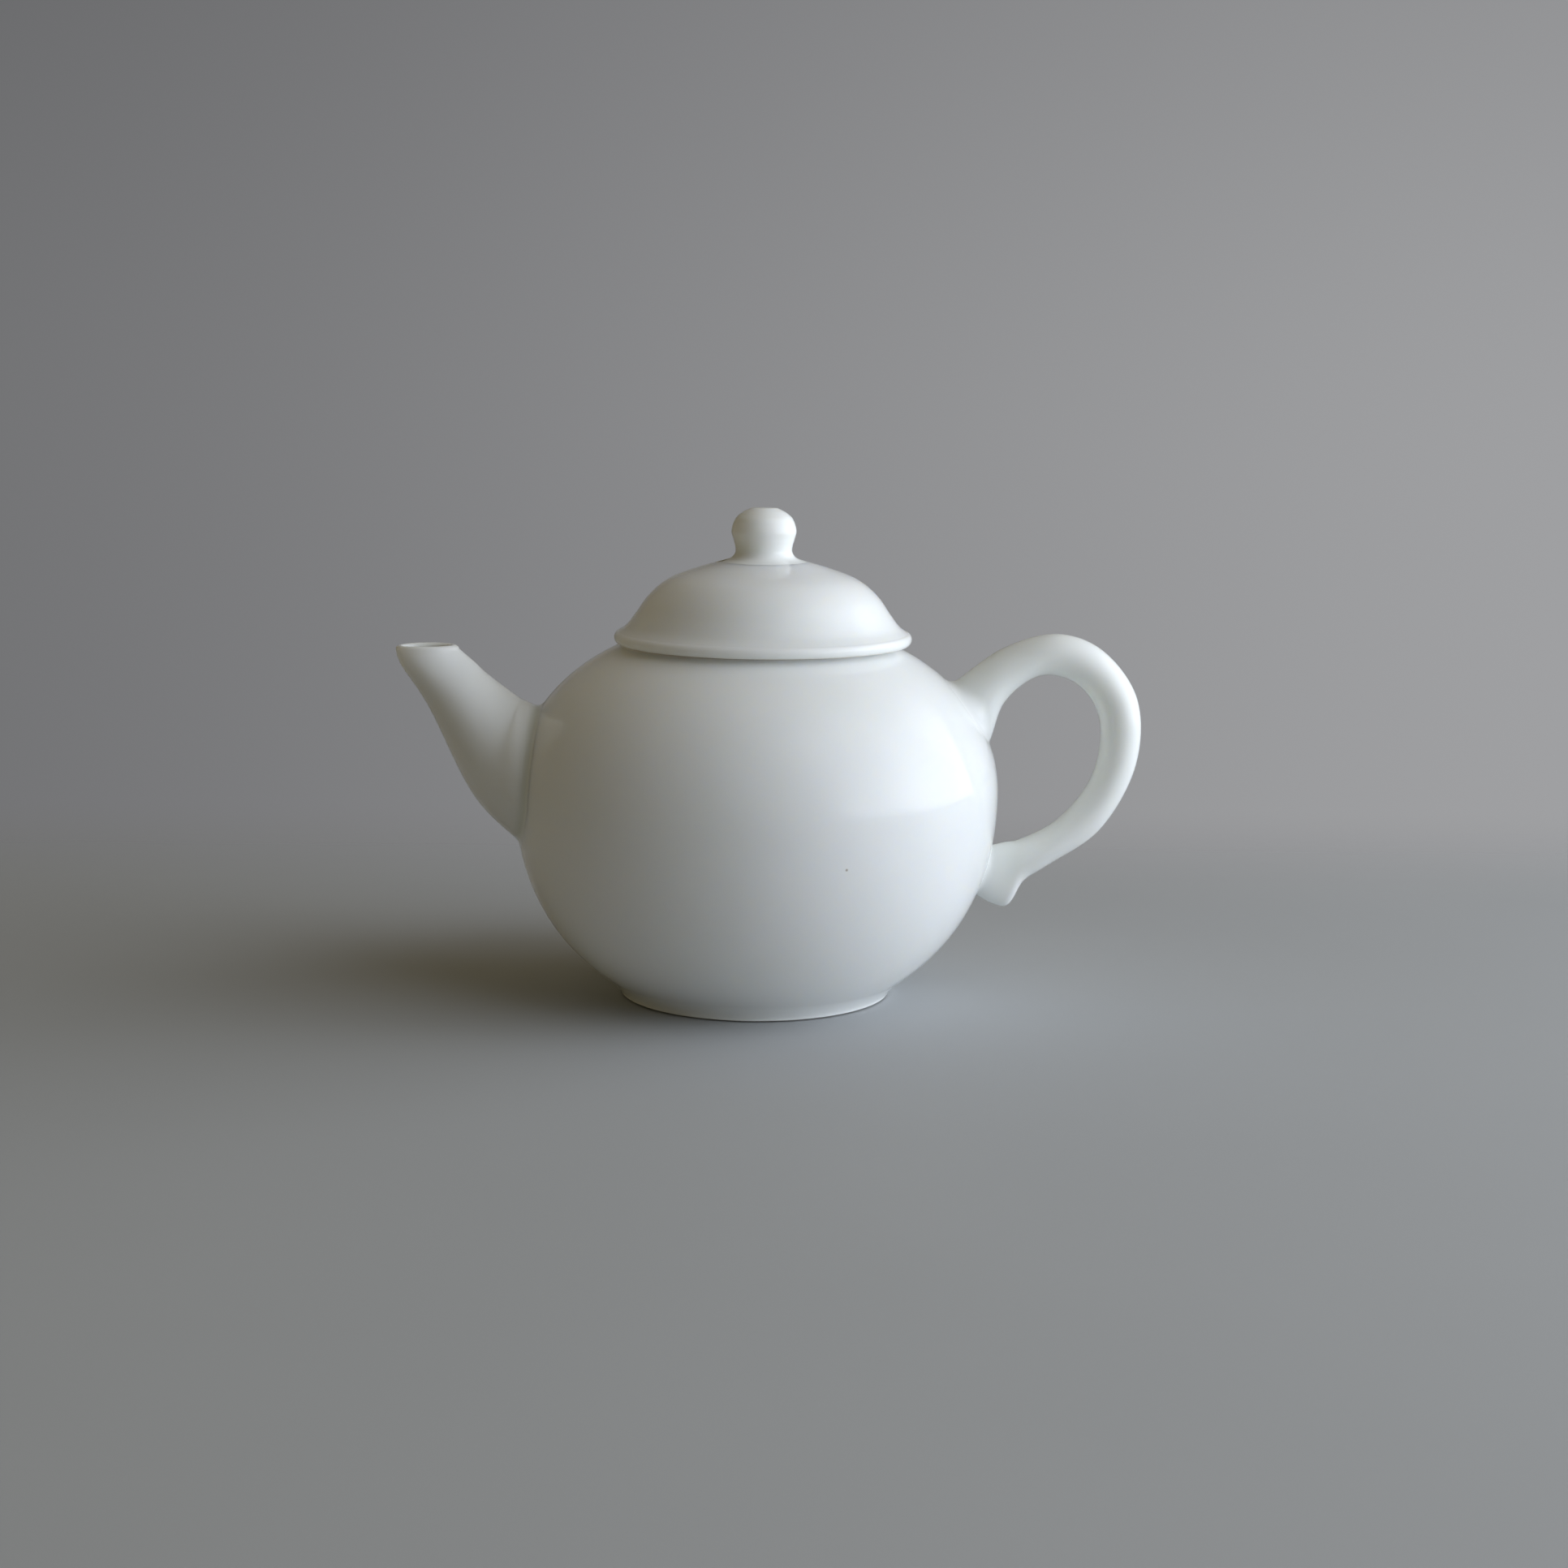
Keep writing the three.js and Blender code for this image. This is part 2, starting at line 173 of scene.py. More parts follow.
def spline_at(points, t):
    """A point of the smooth curve through evenly counted points, t from 0 to 1."""
    place = t * (len(points) - 1)
    i = min(int(place), len(points) - 2)
    w = place - i
    p1 = Vector(points[i])
    p2 = Vector(points[i + 1])
    p0 = Vector(points[i - 1]) if i > 0 else p1
    p3 = Vector(points[i + 2]) if i + 2 < len(points) else p2
    v0 = (p2 - p0) / 2
    v1 = (p3 - p1) / 2
    return (2 * (p1 - p2) + v0 + v1) * w**3 + (3 * (p2 - p1) - 2 * v0 - v1) * w * w + v0 * w + p1


def spline(points, steps):
    """The smooth curve through evenly counted points, as a line of steps + 1 points."""
    return [spline_at(points, i / steps) for i in range(steps + 1)]


def tree_of(points):
    """A search tree that finds the nearest of some points."""
    tree = KDTree(len(points))
    for index, point in enumerate(points):
        tree.insert(point, index)
    tree.balance()
    return tree


def add_rings(bm, rings, closed=False):
    """Quads between rings of points, all with the same count; closed joins the last ring to the first."""
    rows = [[bm.verts.new(p) for p in ring] for ring in rings]
    pairs = list(zip(rows, rows[1:]))
    if closed:
        pairs.append((rows[-1], rows[0]))
    count = len(rows[0])
    for row, following in pairs:
        for k in range(count):
            n = (k + 1) % count
            bm.faces.new((row[k], row[n], following[n], following[k]))
    if not closed:
        bm.faces.new(list(reversed(rows[0])))
        bm.faces.new(rows[-1])


def turned_rings(profile, centre_x, segments):
    """Rings of a revolve of (radius, height) points about the vertical through centre_x."""
    directions = [(cos(2 * pi * k / segments), sin(2 * pi * k / segments)) for k in range(segments)]
    return [[Vector((centre_x + r * c, r * s, z)) for c, s in directions] for r, z in profile]


def mesh_from(name, maker):
    """A mesh with outward faces, from a function that fills a bmesh."""
    mesh = bpy.data.meshes.new(name)
    bm = bmesh.new()
    maker(bm)
    bmesh.ops.remove_doubles(bm, verts=bm.verts, dist=1e-7)
    bmesh.ops.recalc_face_normals(bm, faces=bm.faces)
    bm.to_mesh(mesh)
    bm.free()
    mesh.shade_smooth()
    return mesh


def new_piece(name, mesh, body, node, material):
    """An object that rides on a body and stands for a node of the frame."""
    piece = bpy.data.objects.new(name, mesh)
    bpy.context.scene.collection.objects.link(piece)
    mesh.materials.append(material)
    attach(piece, body)
    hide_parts(node)
    return piece


def cut(piece, cutter_mesh):
    """Takes the cutter's shape out of a piece for good."""
    cutter = bpy.data.objects.new("cutter", cutter_mesh)
    bpy.context.scene.collection.objects.link(cutter)
    modifier = piece.modifiers.new("cut", "BOOLEAN")
    modifier.operation = "DIFFERENCE"
    modifier.solver = "EXACT"
    modifier.object = cutter
    finished = bpy.data.meshes.new_from_object(piece.evaluated_get(bpy.context.evaluated_depsgraph_get()))
    piece.modifiers.clear()
    piece.data = finished
    bpy.data.objects.remove(cutter)


def mark(mesh, name, value_at):
    """Stores a number from 0 to 1 at every vertex, worked out from its place, for the material to read."""
    layer = mesh.attributes.new(name, "FLOAT", "POINT")
    for vertex in mesh.vertices:
        layer.data[vertex.index].value = min(max(value_at(vertex.co), 0.0), 1.0)


def body_outside(steps):
    """The body's outline from the foot over the belly up to the lip, as radius and height."""
    lip = MOUTH_BORE + LIP
    lower = cubic(
        (FOOT_RADIUS, FOOT_HEIGHT),
        (FOOT_RADIUS + 2.9 * MM, FOOT_HEIGHT + 2.7 * MM),
        (BELLY_RADIUS, BELLY_Z - 23.9 * MM),
        (BELLY_RADIUS, BELLY_Z),
        steps,
    )
    upper = cubic(
        (BELLY_RADIUS, BELLY_Z),
        (BELLY_RADIUS, BELLY_Z + 9.8 * MM),
        (lip + 10.9 * MM, MOUTH_Z - 5.4 * MM),
        (lip, MOUTH_Z - LIP_DROP),
        steps,
    )
    return lower + upper[1:]


def foot_hollow(high, above_high):
    """The soft hollow in which the body's curve turns down into the foot, up to its point high."""
    rise = Vector((0, 0.35 * MM))
    reach = 1.4 * MM
    downwards = (high - above_high).normalized()
    low = Vector((FOOT_RADIUS, FOOT_GAP + FOOT_EDGE))
    return cubic(low, low + rise, high + downwards * reach, high, steps=12)[:-1]


def body_inside(steps):
    """The outline of the hollow from under the lip down to the middle of the floor."""
    widest = BELLY_RADIUS - WALL
    floor = FOOT_RECESS + BASE
    upper = cubic(
        (MOUTH_BORE, MOUTH_Z - WALL - 0.6 * MM),
        (MOUTH_BORE + 12 * MM, MOUTH_Z - WALL - 6.2 * MM),
        (widest, BELLY_Z + 10 * MM),
        (widest, BELLY_Z),
        steps,
    )
    lower = cubic(
        (widest, BELLY_Z),
        (widest, BELLY_Z - 20 * MM),
        (FOOT_RADIUS + 5 * MM, floor),
        (AXIS_GAP, floor),
        steps,
    )
    return upper + lower[1:]


SKIN = body_outside(steps=120)


def skin_radius(z):
    """The body's outer radius at a height."""
    if z <= SKIN[0].y:
        return SKIN[0].x
    for a, b in zip(SKIN, SKIN[1:]):
        if a.y <= z <= b.y:
            return a.x + (b.x - a.x) * (z - a.y) / (b.y - a.y)
    return 0.0


def above_skin(p):
    """How far a point is outside the body's outer skin, measured level."""
    return hypot(p.x - POT_X, p.y) - skin_radius(p.z)


def skin_normal(p):
    """The direction straight out of the body's outer skin at a point's height and bearing."""
    step = 0.05 * MM
    slope = (skin_radius(p.z + step) - skin_radius(p.z - step)) / (2 * step)
    level = Vector((p.x - POT_X, p.y, 0)).normalized()
    return (level - Vector((0, 0, slope))).normalized()


def onto_skin(p, depth=0.0):
    """p moved along the skin's normal onto the body's outer skin, then under it by depth."""
    for _ in range(6):
        n = skin_normal(p)
        p = p - n * above_skin(p) * hypot(n.x, n.y)
    return p - skin_normal(p) * depth


def point_on(line, distance):
    """The point a distance along a line of points."""
    for a, b in zip(line, line[1:]):
        length = (b - a).length
        if distance <= length:
            return a.lerp(b, distance / length)
        distance -= length
    return line[-1]


def run_to_skin(line):
    """How far along a line it meets the body's outer skin, and where."""
    run = 0.0
    for a, b in zip(line, line[1:]):
        if above_skin(b) <= 0:
            low = 0.0
            high = 1.0
            for _ in range(24):
                middle = (low + high) / 2
                if above_skin(a.lerp(b, middle)) > 0:
                    low = middle
                else:
                    high = middle
            crossing = a.lerp(b, low)
            return run + (crossing - a).length, crossing
        run += (b - a).length
    return run, line[-1]


def filleted(line, root, top_fillet, under_fillet, side_fillet, straight_steps, bend_steps=12):
    """A line that runs into the body, ended in a fillet that lands along the skin and tucks under it."""
    tuck_start = 0.3 * MM
    tuck_end = 0.5 * MM
    first_tuck = 0.03 * MM
    crowding = 1.4
    run, crossing = run_to_skin(line)
    normal = skin_normal(crossing)
    away = crossing - root
    away = (away - normal * away.dot(normal)).normalized()
    fillet = under_fillet + (top_fillet - under_fillet) * (1 + away.z) / 2 + side_fillet * away.y**2
    start = max(run - fillet, 0.0)
    first = point_on(line, start)
    heading = (point_on(line, start + 0.1 * MM) - first).normalized()
    landing = onto_skin(crossing + away * fillet)
    pull = 0.6 * fillet
    points = []
    for i in range(straight_steps):
        left = 1 - i / straight_steps
        points.append(point_on(line, start * (1 - left**crowding)))
    points += cubic(first, first + heading * pull, landing - away * pull, landing, bend_steps)
    points.append(onto_skin(landing + away * tuck_start, first_tuck))
    points.append(onto_skin(landing + away * tuck_end, TUCK))
    return points


def point_between(edge_a, edge_b, half_widths, t, angle, wall=0.0):
    """A point of the oval section between two edges given in millimetres from the pot's axis."""
    a = spline_at(edge_a, t) * MM
    b = spline_at(edge_b, t) * MM
    middle = (a + b) / 2
    half = (a - b) / 2
    half *= 1 - wall / half.length
    width = spline_at(list(enumerate(half_widths)), t).y * MM - wall
    x = POT_X + middle.x + half.x * cos(angle)
    z = middle.y + half.y * cos(angle)
    return Vector((x, width * sin(angle), z))


def make_body(bm):
    """The turned globe with its foot, wall, floor and mouth."""
    lip = MOUTH_BORE + LIP
    foot_inside = FOOT_RADIUS - FOOT_RING
    foot_edge = [
        (FOOT_RADIUS - FOOT_EDGE * (1 - sin(turn)), FOOT_GAP + FOOT_EDGE * (1 - cos(turn)))
        for turn in (pi / 2 * i / 6 for i in range(6))
    ]
    # The foot's hollow takes the place of the outline below this point
    hollow_end = 8
    skin = body_outside(steps=48)
    lip_edge = cubic(
        (lip, MOUTH_Z - LIP_DROP),
        (lip - 0.35 * MM, MOUTH_Z - 0.2 * MM),
        (lip - 0.5 * MM, MOUTH_Z),
        (lip - 0.8 * MM, MOUTH_Z),
        steps=5,
    )
    bore_edge = [
        (MOUTH_BORE + BORE_EDGE * (1 - sin(turn)), MOUTH_Z - BORE_EDGE * (1 - cos(turn)))
        for turn in (pi / 2 * i / 5 for i in range(6))
    ]
    profile = [
        (AXIS_GAP, FOOT_RECESS),
        (foot_inside * 0.5, FOOT_RECESS),
        (foot_inside - 1.2 * MM, FOOT_RECESS),
        (foot_inside - 0.7 * MM, FOOT_RECESS - 0.15 * MM),
        (foot_inside - 0.2 * MM, 0.2 * MM),
        (foot_inside + 0.2 * MM, 0),
        (FOOT_RADIUS - 0.9 * MM, 0),
        (FOOT_RADIUS - 0.8 * MM, FOOT_GAP),
        *foot_edge,
        *foot_hollow(skin[hollow_end], skin[hollow_end + 1]),
        *skin[hollow_end:],
        *lip_edge[1:],
        *bore_edge,
        *body_inside(steps=36),
    ]
    add_rings(bm, turned_rings(profile, POT_X, segments=256))


def make_port(bm):
    """A short rod through the wall where the spout's port is."""
    sides = 64
    centre_x = POT_X - BELLY_RADIUS + WALL / 2
    rings = []
    turns = [2 * pi * k / sides for k in range(sides)]
    for x in (centre_x - 2 * WALL, centre_x + 2 * WALL):
        ring = [Vector((x, PORT_RADIUS * cos(turn), PORT_Z + PORT_RADIUS * sin(turn))) for turn in turns]
        rings.append(ring)
    add_rings(bm, rings)


def spout_lines():
    """The spout's outside and bore from the mouth to the root, and where the outside meets the body."""
    sides = 96
    stations = 80
    bore_steps = 40
    # Shares of the spout's length that the mouth's rounded edge takes up: all round, and on the topside
    below_lip = 0.0135
    corner = 0.04
    root = Vector((POT_X - BELLY_RADIUS, 0, PORT_Z))
    outside = []
    bore = []
    crossings = []
    for k in range(sides):
        angle = 2 * pi * k / sides
        outer_start = max(below_lip, corner * (1 - cos(angle)) / 2)
        line = []
        inner = []
        for i in range(stations + 1):
            t = below_lip + (1 - below_lip) * i / stations
            wall = SPOUT_TIP_WALL + (SPOUT_ROOT_WALL - SPOUT_TIP_WALL) * t
            inner.append(point_between(SPOUT_UNDERSIDE, SPOUT_TOPSIDE, SPOUT_HALF_WIDTHS, t, angle, wall))
            t = outer_start + (1 - outer_start) * i / stations
            line.append(point_between(SPOUT_UNDERSIDE, SPOUT_TOPSIDE, SPOUT_HALF_WIDTHS, t, angle))
        outside.append(filleted(line, root, *SPOUT_FILLETS, straight_steps=44))
        crossings.append(run_to_skin(line)[1])
        run, crossing = run_to_skin(inner)
        bore_line = [point_on(inner, run * i / bore_steps) for i in range(bore_steps)]
        bore.append(bore_line + [onto_skin(crossing, TUCK)])
    return outside, bore, crossings


def make_spout(bm, outside, bore):
    """Joins the spout's outside and bore with a rounded edge at the mouth."""
    outer = [list(ring) for ring in zip(*outside)]
    inner = [list(ring) for ring in zip(*bore)]
    lip = []
    for step in range(1, 8):
        turn = pi * step / 8
        across = (1 - cos(turn)) / 2
        rise = Vector((0, 0, SPOUT_LIP_ROUND * sin(turn)))
        lip.append([a.lerp(b, across) + rise for a, b in zip(outer[0], inner[0])])
    add_rings(bm, list(reversed(outer)) + lip + inner, closed=True)


def handle_lines():
    """The handle's lines from its upper landing on the body round to the lower one."""
    sides = 64
    stations = 240
    upper_root = Vector((POT_X + 36.3 * MM, 0, 48.2 * MM))
    lower_root = Vector((POT_X + 42 * MM, 0, 20.5 * MM))
    lines = []
    for k in range(sides):
        angle = 2 * pi * k / sides
        line = [
            point_between(HANDLE_INSIDE, HANDLE_OUTSIDE, HANDLE_HALF_WIDTHS, i / stations, angle)
            for i in range(stations + 1)
        ]
        middle = stations // 2
        up = filleted(line[middle::-1], upper_root, *HANDLE_FILLETS, straight_steps=60)
        down = filleted(line[middle:], lower_root, *TAIL_FILLETS, straight_steps=80)
        lines.append(up[::-1] + down[1:])
    return lines


def make_handle(bm, lines):
    """The solid ear with its tail."""
    add_rings(bm, [list(ring) for ring in zip(*lines)])


def lid_dome(steps):
    """The lid's upper outline from its rim to the foot of the knob."""
    return spline(
        [
            (LID_RADIUS - 0.75 * MM, SEAT_Z + LID_RIM),
            (LID_RADIUS - 2.15 * MM, SEAT_Z + 3 * MM),
            (LID_RADIUS - 3.7 * MM, SEAT_Z + 5.05 * MM),
            (LID_RADIUS - 5.6 * MM, SEAT_Z + 7.75 * MM),
            (LID_RADIUS - 8.1 * MM, SEAT_Z + 10.05 * MM),
            (LID_RADIUS - 11.2 * MM, SEAT_Z + 11.65 * MM),
            (KNOB_FOOT + 2.8 * MM, DOME_Z - 0.6 * MM),
            (KNOB_FOOT, DOME_Z),
        ],
        steps,
    )


def make_lid(bm):
    """The hollow dome with its rolled rim, not yet vented."""
    inner = COLLAR_RADIUS - COLLAR_WALL
    underside = spline(
        [
            (AXIS_GAP, DOME_Z - LID_WALL),
            (6 * MM, DOME_Z - LID_WALL - 0.3 * MM),
            (12.5 * MM, DOME_Z - LID_WALL - 2.3 * MM),
            (inner, SEAT_Z + 4.6 * MM),
            (inner + 1 * MM, SEAT_Z + 0.6 * MM),
        ],
        steps=36,
    )
    rim = cubic(
        (LID_RADIUS - 0.7 * MM, SEAT_Z),
        (LID_RADIUS + 0.15 * MM, SEAT_Z),
        (LID_RADIUS + 0.35 * MM, SEAT_Z + LID_RIM - 0.2 * MM),
        (LID_RADIUS - 0.75 * MM, SEAT_Z + LID_RIM),
        steps=16,
    )
    profile = [*underside, (inner + 1.4 * MM, SEAT_Z), *rim, *lid_dome(steps=72)[1:], (AXIS_GAP, DOME_Z)]
    add_rings(bm, turned_rings(profile, LID_X, segments=256))


def make_vent(bm):
    """A rod with a flared top, for a vent whose edge the glaze has rounded."""
    flare = 0.35 * MM
    top = DOME_Z + 1 * MM
    surface = DOME_Z - 0.35 * MM
    profile = [(VENT_RADIUS, DOME_Z - 6 * MM), (VENT_RADIUS, surface - flare)]
    for i in range(1, 6):
        turn = pi / 2 * i / 5
        profile.append((VENT_RADIUS + flare * (1 - cos(turn)), surface - flare + flare * sin(turn)))
    profile.append((VENT_RADIUS + 2 * flare, top))
    add_rings(bm, turned_rings(profile, LID_X - VENT_PLACE, segments=40))


def make_collar(bm):
    """The ring under the lid, rounded at its lower edges."""
    top = SEAT_Z - 0.1 * MM
    bottom = SEAT_Z - COLLAR_DEPTH
    inner = COLLAR_RADIUS - COLLAR_WALL
    bevel = 0.6 * MM
    corner = []
    for i in range(7):
        turn = pi / 2 * i / 6
        corner.append((bevel * (1 - sin(turn)), bevel * (1 - cos(turn))))
    profile = [(inner, top)]
    profile += [(inner + across, bottom + up) for across, up in [(b, a) for a, b in corner]]
    profile += [(COLLAR_RADIUS - across, bottom + up) for across, up in corner]
    profile.append((COLLAR_RADIUS, top))
    add_rings(bm, turned_rings(profile, LID_X, segments=160), closed=True)


def make_knob(bm):
    """The ball with its neck, flared out onto the dome."""
    ball = DOME_Z + 4.9 * MM
    outline = spline(
        [
            (KNOB_FOOT + 2.6 * MM, DOME_Z - 0.62 * MM),
            (KNOB_FOOT + 1.3 * MM, DOME_Z - 0.2 * MM),
            (KNOB_FOOT + 0.25 * MM, DOME_Z + 0.16 * MM),
            (KNOB_FOOT - 0.45 * MM, DOME_Z + 0.65 * MM),
            (KNOB_NECK + 0.05 * MM, DOME_Z + 1.4 * MM),
            (KNOB_NECK + 0.1 * MM, DOME_Z + 2.3 * MM),
            (KNOB_RADIUS - 0.3 * MM, DOME_Z + 3.5 * MM),
            (KNOB_RADIUS, ball),
            (KNOB_RADIUS - 0.6 * MM, ball + 1.9 * MM),
            (KNOB_RADIUS - 1.75 * MM, CROWN_Z - 0.8 * MM),
            (2.2 * MM, CROWN_Z - 0.05 * MM),
        ],
        steps=64,
    )
    profile = [(AXIS_GAP, DOME_Z - 0.62 * MM), *outline, (AXIS_GAP / 2, CROWN_Z)]
    add_rings(bm, turned_rings(profile, LID_X, segments=128))


def strainer_place():
    """Turns things made about the vertical so that they point into the pot from the port."""
    inside_wall = Vector((POT_X - BELLY_RADIUS + WALL + STRAINER_SEAT, 0, PORT_Z))
    return Matrix.Translation(inside_wall) @ Matrix.Rotation(pi / 2, 4, "Y")


def make_strainer(bm):
    """The dome over the port, not yet pierced."""
    steps = 16
    inner = STRAINER_RADIUS - STRAINER_WALL
    quarter = [pi / 2 * i / steps for i in range(steps + 1)]
    near_axis = AXIS_GAP / 4
    profile = [(max(inner * sin(a), near_axis), (STRAINER_RISE - STRAINER_WALL) * cos(a)) for a in quarter]
    profile += [(inner, -STRAINER_SKIRT), (STRAINER_RADIUS, -STRAINER_SKIRT)]
    profile += [
        (max(STRAINER_RADIUS * sin(a), near_axis), STRAINER_RISE * cos(a)) for a in reversed(quarter)
    ]
    add_rings(bm, turned_rings(profile, 0, segments=96))
    bmesh.ops.transform(bm, matrix=strainer_place(), verts=bm.verts)


def make_sieve_drills(bm):
    """One drill in the middle of the dome, six round it and twelve round those."""
    squeeze = Matrix.Diagonal((1, 1, STRAINER_RISE / STRAINER_RADIUS, 1))
    for circle in range(3):
        count = 6 * circle if circle else 1
        for i in range(count):
            turn = Matrix.Rotation(2 * pi * i / count, 4, "Z")
            lean = turn @ Matrix.Rotation(STRAINER_RING * circle, 4, "Y")
            rod = [(STRAINER_HOLE, STRAINER_RADIUS - 4 * MM), (STRAINER_HOLE, STRAINER_RADIUS + 3 * MM)]
            place = strainer_place() @ squeeze @ lean
            rings = turned_rings(rod, 0, segments=24)
            add_rings(bm, [[place @ p for p in level] for level in rings])


def noise(nodes, links, coords, scale, detail=2.0):
    """A soft random pattern; scale is how many of its blobs fit in a metre."""
    texture = nodes.new("ShaderNodeTexNoise")
    texture.inputs["Scale"].default_value = scale
    texture.inputs["Detail"].default_value = detail
    links.new(coords.outputs["Object"], texture.inputs["Vector"])
    return texture.outputs["Fac"]


def ramp(nodes, links, factor, low, high, low_colour, high_colour):
    """Blends from one colour to another as a number goes from low to high."""
    node = nodes.new("ShaderNodeValToRGB")
    node.color_ramp.elements[0].position = low
    node.color_ramp.elements[0].color = (*low_colour, 1)
    node.color_ramp.elements[1].position = high
    node.color_ramp.elements[1].color = (*high_colour, 1)
    links.new(factor, node.inputs["Fac"])
    return node.outputs["Color"]


def blend_colour(nodes, links, factor, first, second):
    """Mixes two colours; second may be a fixed one."""
    node = nodes.new("ShaderNodeMix")
    node.data_type = "RGBA"
    links.new(factor, node.inputs["Factor"])
    links.new(first, node.inputs["A"])
    if isinstance(second, tuple):
        node.inputs["B"].default_value = (*second, 1)
    else:
        links.new(second, node.inputs["B"])
    return node.outputs["Result"]


def grey(level):
    """A grey as a colour."""
    return (level, level, level)


def attribute(nodes, name):
    """A number stored at the vertices by mark."""
    node = nodes.new("ShaderNodeAttribute")
    node.attribute_name = name
    return node.outputs["Fac"]


def combine(nodes, links, operation, first, second):
    """Adds, multiplies or compares two numbers; the second may be a fixed one."""
    node = nodes.new("ShaderNodeMath")
    node.operation = operation
    links.new(first, node.inputs[0])
    if isinstance(second, (int, float)):
        node.inputs[1].default_value = second
    else:
        links.new(second, node.inputs[1])
    return node.outputs["Value"]


def slide(nodes, links, value, low, high, low_result, high_result):
    """Leads a number smoothly from one result to another between two levels."""
    node = nodes.new("ShaderNodeMapRange")
    node.interpolation_type = "SMOOTHSTEP"
    node.inputs["From Min"].default_value = low
    node.inputs["From Max"].default_value = high
    node.inputs["To Min"].default_value = low_result
    node.inputs["To Max"].default_value = high_result
    links.new(value, node.inputs["Value"])
    return node.outputs["Result"]


def clay_grain(nodes, links, coords):
    """The fine chalky grain of unglazed porcelain."""
    grains = noise(nodes, links, coords, scale=2500, detail=4)
    return ramp(nodes, links, grains, 0.3, 0.7, CLAY_LOW, CLAY_HIGH)


def glaze_material():
    """White porcelain under clear glaze: clouded, greener where it pools by the spout and darker there with
    painted crease shade, chalky where it is wiped off.
    """
    material = bpy.data.materials.new("porcelain_glaze")
    material.use_nodes = True
    nodes = material.node_tree.nodes
    links = material.node_tree.links
    shader = nodes["Principled BSDF"]
    shader.inputs["IOR"].default_value = GLAZE_IOR
    shader.inputs["Specular IOR Level"].default_value = GLAZE_GLOSS
    glow = combine(nodes, links, "MULTIPLY", attribute(nodes, "glow"), GLOW_LEVEL)
    links.new(glow, shader.inputs["Subsurface Weight"])
    shader.inputs["Subsurface Radius"].default_value = GLOW_SPREAD
    shader.inputs["Subsurface Scale"].default_value = GLOW_DEPTH
    coords = nodes.new("ShaderNodeTexCoord")

    clouds = noise(nodes, links, coords, scale=30, detail=3)
    clouded = ramp(nodes, links, clouds, 0.35, 0.65, CLOUD_LOW, CLOUD_HIGH)
    # Tints the spout's seam: greener pooled glaze plus painted crease shade
    pool_and_crease_shade = combine(nodes, links, "MULTIPLY", attribute(nodes, "pool_and_crease_shade"), POOL_AND_CREASE_SHADE_STRENGTH)
    pool_and_crease_shade_colour = blend_colour(nodes, links, pool_and_crease_shade, clouded, POOL_AND_CREASE_SHADE_COLOUR)

    cells = nodes.new("ShaderNodeTexVoronoi")
    cells.inputs["Scale"].default_value = SPECK_CELLS_PER_METRE
    links.new(coords.outputs["Object"], cells.inputs["Vector"])
    dots = ramp(nodes, links, cells.outputs["Distance"], 0.02, 0.045, grey(1), grey(0))
    chosen = ramp(nodes, links, cells.outputs["Color"], 0.86, 0.88, grey(0), grey(0.7))
    speck = combine(nodes, links, "MULTIPLY", dots, chosen)
    specked = blend_colour(nodes, links, speck, pool_and_crease_shade_colour, SPECK_COLOUR)

    bare = attribute(nodes, "bare")
    clay = clay_grain(nodes, links, coords)
    links.new(blend_colour(nodes, links, bare, specked, clay), shader.inputs["Base Color"])

    smears = noise(nodes, links, coords, scale=400, detail=2)
    glazed_roughness = ramp(nodes, links, smears, 0.3, 0.7, grey(0.05), grey(0.09))
    links.new(blend_colour(nodes, links, bare, glazed_roughness, grey(0.6)), shader.inputs["Roughness"])

    waves = nodes.new("ShaderNodeBump")
    waves.inputs["Strength"].default_value = 0.35
    waves.inputs["Distance"].default_value = 0.25 * MM
    links.new(noise(nodes, links, coords, scale=45, detail=1), waves.inputs["Height"])
    peel = nodes.new("ShaderNodeBump")
    peel.inputs["Strength"].default_value = 0.04
    peel.inputs["Distance"].default_value = 0.02 * MM
    links.new(noise(nodes, links, coords, scale=900, detail=1), peel.inputs["Height"])
    links.new(waves.outputs["Normal"], peel.inputs["Normal"])
    links.new(peel.outputs["Normal"], shader.inputs["Normal"])
    return material


def biscuit_material():
    """Fired porcelain without glaze: chalky white with a fine tooth and faint stains."""
    material = bpy.data.materials.new("bare_porcelain")
    material.use_nodes = True
    nodes = material.node_tree.nodes
    links = material.node_tree.links
    shader = nodes["Principled BSDF"]
    coords = nodes.new("ShaderNodeTexCoord")
    grain = clay_grain(nodes, links, coords)
    blots = noise(nodes, links, coords, scale=120, detail=3)
    stains = ramp(nodes, links, blots, 0.55, 0.75, grey(0), grey(0.5))
    links.new(blend_colour(nodes, links, stains, grain, STAIN_COLOUR), shader.inputs["Base Color"])
    patches = noise(nodes, links, coords, scale=700, detail=2)
    roughness = ramp(nodes, links, patches, 0.3, 0.7, grey(0.55), grey(0.7))
    links.new(roughness, shader.inputs["Roughness"])
    tooth = nodes.new("ShaderNodeBump")
    tooth.inputs["Strength"].default_value = 0.3
    tooth.inputs["Distance"].default_value = 0.05 * MM
    links.new(noise(nodes, links, coords, scale=3000, detail=3), tooth.inputs["Height"])
    links.new(tooth.outputs["Normal"], shader.inputs["Normal"])
    return material


